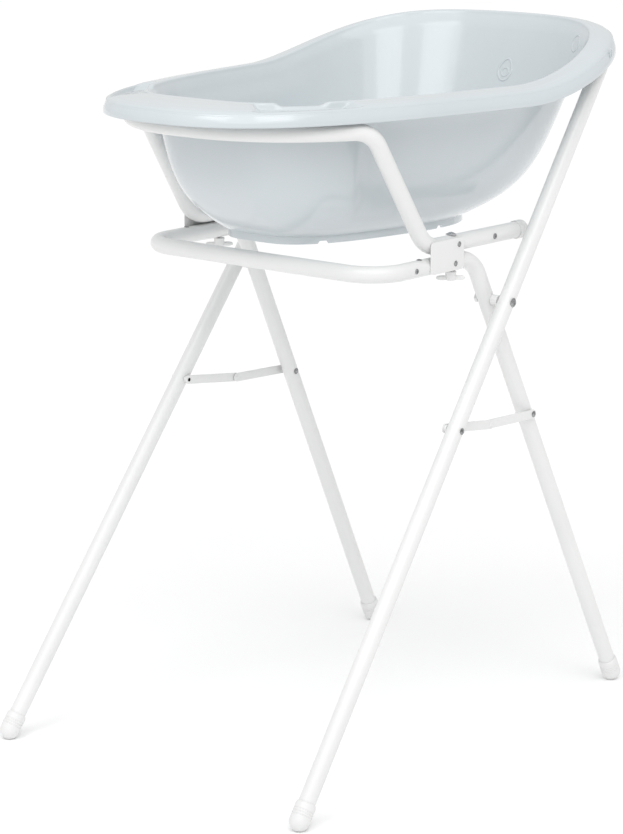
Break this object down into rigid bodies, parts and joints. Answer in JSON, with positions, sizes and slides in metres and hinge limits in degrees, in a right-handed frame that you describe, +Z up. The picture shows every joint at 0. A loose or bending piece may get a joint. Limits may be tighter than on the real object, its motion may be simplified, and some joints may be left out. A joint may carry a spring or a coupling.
{
  "type": "baby bath with folding stand",
  "caption": "Baby bath with a rolled rim, hung by the rim in a folding stand of bent steel tubes with crossed legs, spreader bars, wing knobs and plastic feet.",
  "frame": {"origin": "on the floor, midway between the foot end and the head end of the whole object, on its plane of symmetry", "axes": "+X from the foot end towards the raised head end, +Y to the back, +Z up"},
  "size_m": [0.932, 0.613, 1.0619],
  "materials": {
    "white_paint": "semi-gloss white powder coat",
    "white_plastic": "moulded white plastic",
    "bath_plastic": "glossy pale grey-blue moulded plastic",
    "zinc_steel": "bright zinc plate",
    "grey_plastic": "grey nylon",
    "plug_rubber": "soft grey rubber"
  },
  "bodies": {
    "inner_frame": {"inner_leg_frame": "white_paint", "holder_loop": "white_paint", "inner_leg_feet": "white_plastic", "rail_end_caps": "white_plastic", "bracket_front": "white_paint", "bracket_back": "white_paint", "bracket_rivets": "zinc_steel", "lower_tube_screws": "zinc_steel", "rail_screws": "zinc_steel", "clamp_bolts": "zinc_steel", "pivot_bolts": "zinc_steel", "pivot_spacers": "white_plastic", "pivot_nuts": "white_plastic", "inner_link_rivets": "zinc_steel", "inner_link_spacers": "white_plastic"},
    "outer_frame": {"outer_leg_frame": "white_paint", "outer_leg_feet": "white_plastic", "outer_link_rivets": "zinc_steel", "outer_link_spacers": "white_plastic"},
    "outer_bar_front": {"outer_link_front": "white_paint", "mid_rivet_front": "white_paint"},
    "outer_bar_back": {"outer_link_back": "white_paint", "mid_rivet_back": "white_paint"},
    "inner_bar_front": {"inner_link_front": "white_paint", "mid_tail_front": "white_paint"},
    "inner_bar_back": {"inner_link_back": "white_paint", "mid_tail_back": "white_paint"},
    "knob_front": {"wing_knob_front": "white_plastic"},
    "knob_back": {"wing_knob_back": "white_plastic"},
    "bath": {"bath_tub": "bath_plastic"},
    "plug": {"drain_plug": "plug_rubber"}
  },
  "joints": [
    {"name": "leg_fold", "type": "hinge", "parent": "inner_frame", "child": "outer_frame", "pos_m": [0.04954, 0, 0.675], "axis": [0, -1, 0], "range_deg": [0, 56]},
    {"name": "outer_bar_front_turn", "type": "hinge", "parent": "outer_frame", "child": "outer_bar_front", "pos_m": [-0.07991, -0.25525, 0.504], "axis": [0, 1, 0], "range_deg": [0, 105]},
    {"name": "inner_bar_front_turn", "type": "hinge", "parent": "inner_frame", "child": "inner_bar_front", "pos_m": [0.14397, -0.25225, 0.485], "axis": [0, -1, 0], "range_deg": [0, 113]},
    {"name": "outer_bar_back_turn", "type": "hinge", "parent": "outer_frame", "child": "outer_bar_back", "pos_m": [-0.07991, 0.25525, 0.504], "axis": [0, 1, 0], "range_deg": [0, 105]},
    {"name": "inner_bar_back_turn", "type": "hinge", "parent": "inner_frame", "child": "inner_bar_back", "pos_m": [0.14397, 0.25225, 0.485], "axis": [0, -1, 0], "range_deg": [0, 113]},
    {"name": "bath_lift", "type": "slide", "parent": "inner_frame", "child": "bath", "axis": [-0.3257, 0, 0.9455], "range_m": [0, 1.068]},
    {"name": "plug_lift", "type": "slide", "parent": "bath", "child": "plug", "axis": [0, 0, 1], "range_m": [0, 0.06]},
    {"name": "knob_front_turn", "type": "hinge", "parent": "inner_frame", "child": "knob_front", "pos_m": [-0.03546, -0.228, 0.72], "axis": [0, 0, 1], "continuous": true},
    {"name": "knob_back_turn", "type": "hinge", "parent": "inner_frame", "child": "knob_back", "pos_m": [-0.03546, 0.228, 0.72], "axis": [0, 0, 1], "continuous": true}
  ],
  "couplings": [
    {"joint": "outer_bar_front_turn", "follows": "leg_fold", "ratio": 1.8586},
    {"joint": "inner_bar_front_turn", "follows": "leg_fold", "ratio": 2.0074},
    {"joint": "outer_bar_back_turn", "follows": "leg_fold", "ratio": 1.8586},
    {"joint": "inner_bar_back_turn", "follows": "leg_fold", "ratio": 2.0074},
    {"joint": "bath_lift", "follows": "leg_fold", "m_per_rad": 1.0908}
  ]
}
